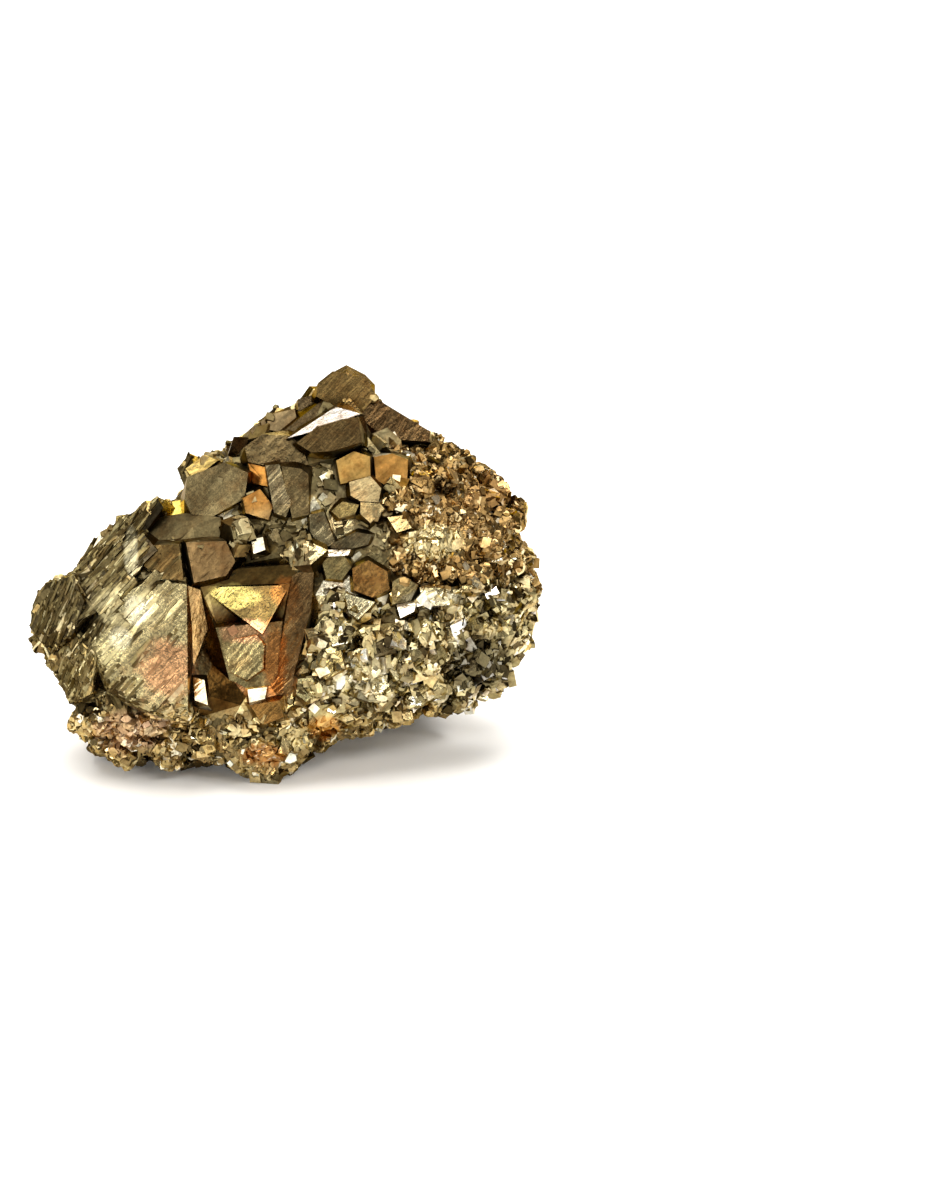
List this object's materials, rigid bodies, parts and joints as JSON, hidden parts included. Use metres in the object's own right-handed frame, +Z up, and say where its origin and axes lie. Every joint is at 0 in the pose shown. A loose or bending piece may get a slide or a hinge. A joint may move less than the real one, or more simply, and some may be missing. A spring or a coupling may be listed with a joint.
{
  "type": "pyrite specimen",
  "caption": "Natural pyrite cluster: blocky intergrown cubic crystals and striated faces on a knobbly brassy mass that rests on its own feet.",
  "frame": {"origin": "middle of the bounding box across and back, on the plane that the cluster rests on", "axes": "+Z up, +X to the right and +Y to the back as the cluster is looked at from its best face"},
  "size_m": [0.0918, 0.0682, 0.0706],
  "materials": {
    "pyrite": "bright metallic crystal faces, brown and orange tarnish in patches, dark seams between crystals"
  },
  "bodies": {
    "root": {"pyrite_cluster": "pyrite"}
  },
  "joints": []
}
